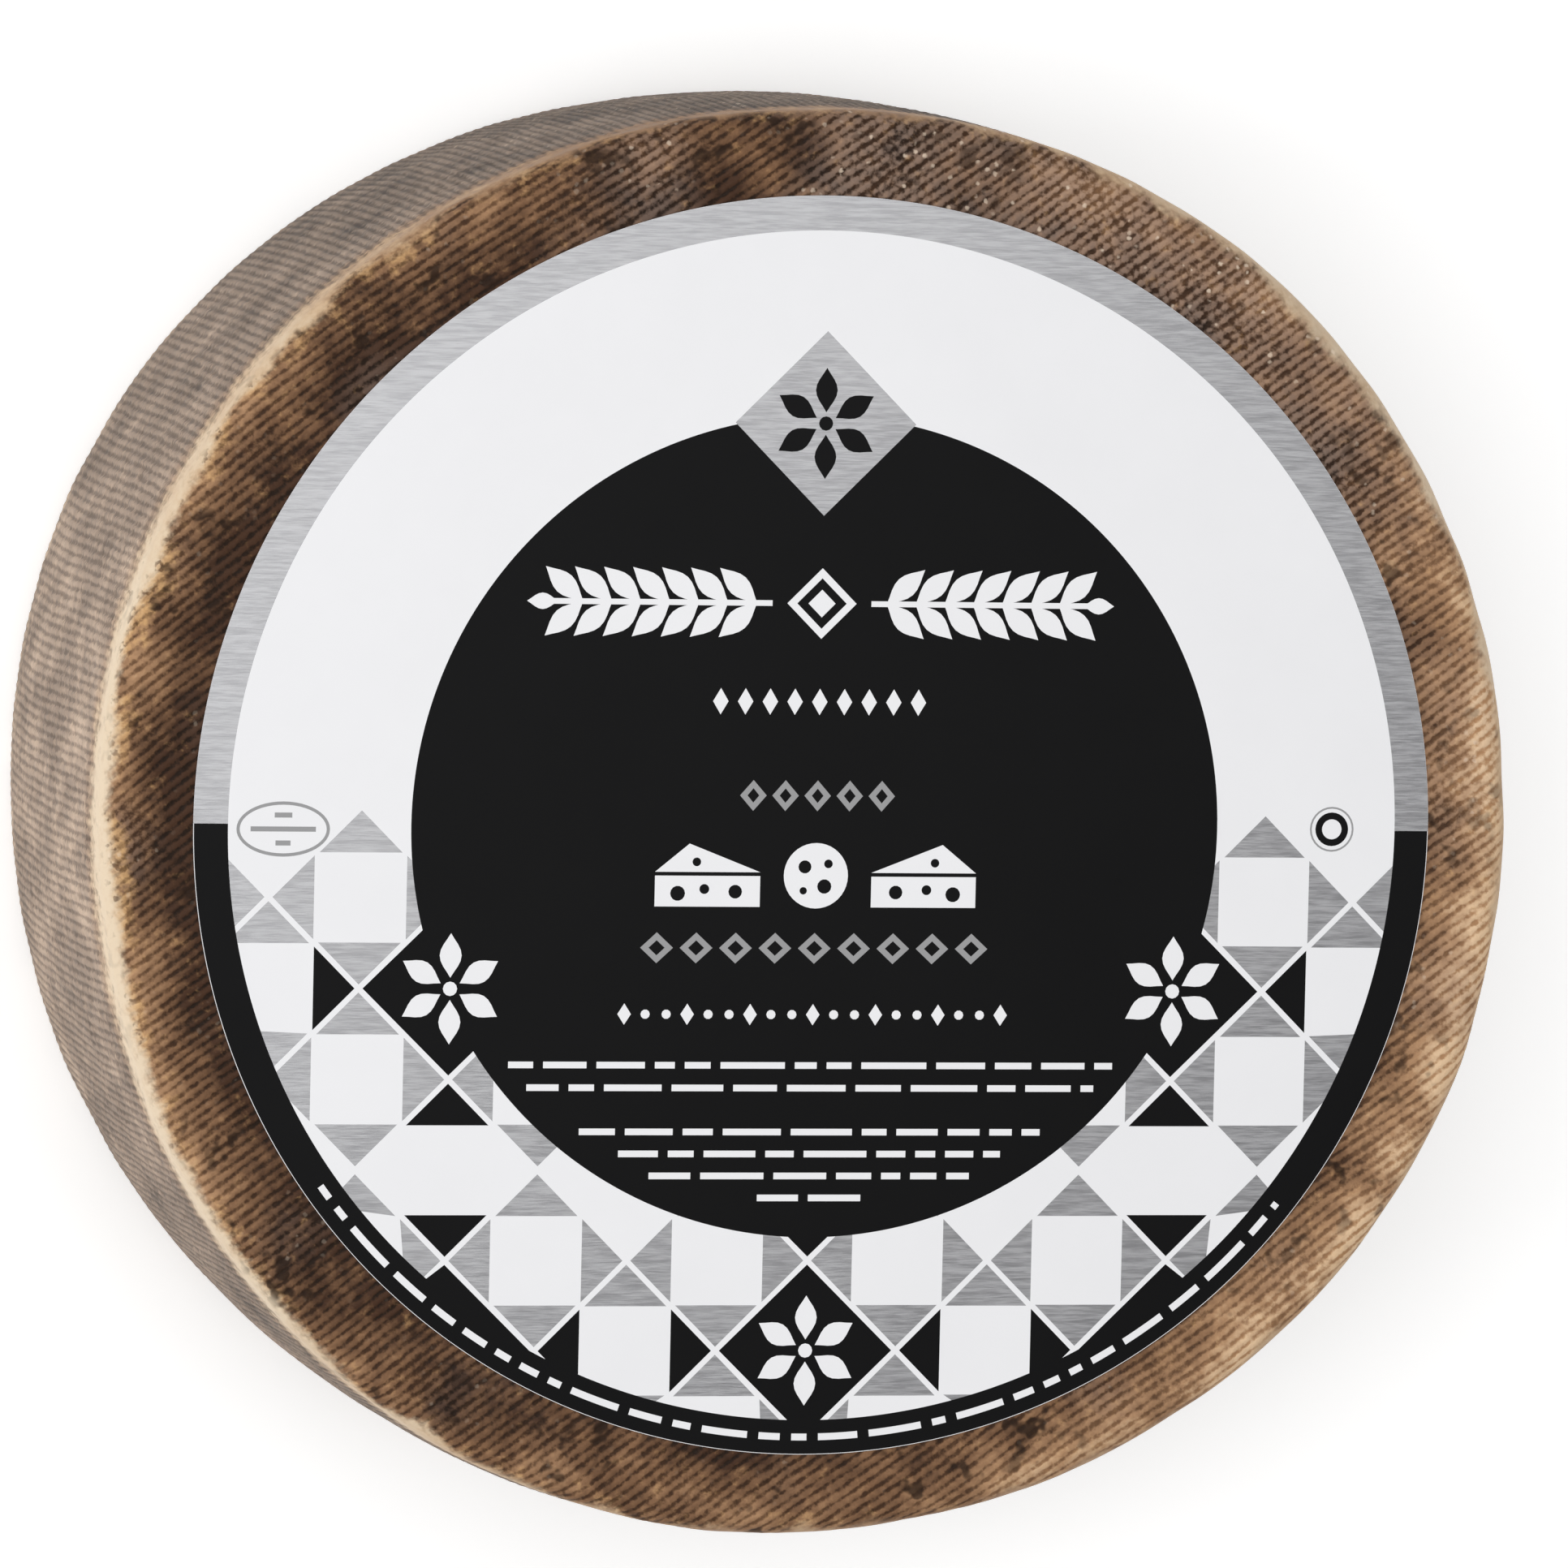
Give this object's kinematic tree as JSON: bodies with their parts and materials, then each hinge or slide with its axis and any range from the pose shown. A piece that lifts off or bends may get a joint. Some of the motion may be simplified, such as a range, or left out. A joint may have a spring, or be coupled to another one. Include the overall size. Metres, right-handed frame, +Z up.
{
  "type": "cheese wheel",
  "caption": "Whole wheel of aged pressed cheese with a cloth-marked brown rind, worn pale edges and a round printed label on its top face.",
  "frame": {"origin": "middle of the plain base face, where the wheel rests on its board", "axes": "+Z up through the wheel to the labelled face, +Y towards the top of the label, +X to the label's right"},
  "size_m": [0.2064, 0.2051, 0.09],
  "materials": {
    "rind": "matte",
    "label_paper": "satin"
  },
  "bodies": {
    "root": {"cheese_wheel": "rind", "label": "label_paper"}
  },
  "joints": []
}
